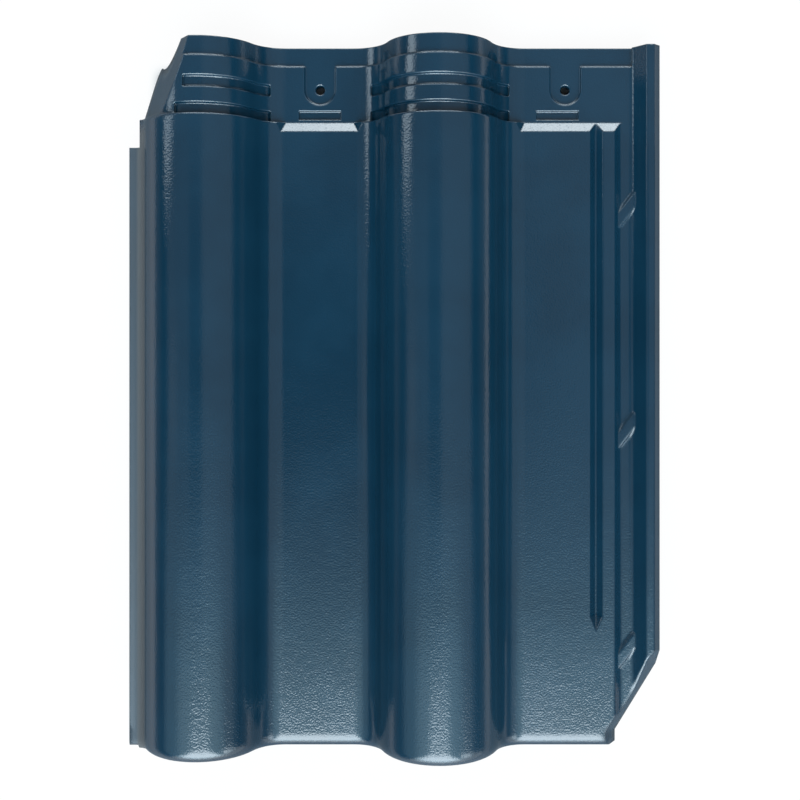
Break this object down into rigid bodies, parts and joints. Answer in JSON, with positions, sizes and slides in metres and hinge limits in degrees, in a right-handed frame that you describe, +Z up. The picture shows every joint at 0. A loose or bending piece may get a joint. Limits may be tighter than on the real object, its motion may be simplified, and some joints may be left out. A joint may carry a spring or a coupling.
{
  "type": "roof tile",
  "caption": "Glazed clay interlocking roof tile with rolls and flat pans, a recessed head lap, a side channel with a rib, a side flange and nail holes.",
  "frame": {"origin": "middle of the footprint, on the level of the surface that the nibs and nose bars rest on", "axes": "+Y along the rolls from the nose to the head, +X across the tile from the flange to the rib, +Z up from the resting side to the glazed face"},
  "size_m": [0.301, 0.4, 0.054],
  "materials": {
    "glaze": "glossy"
  },
  "bodies": {
    "root": {"roof_tile": "glaze"}
  },
  "joints": []
}
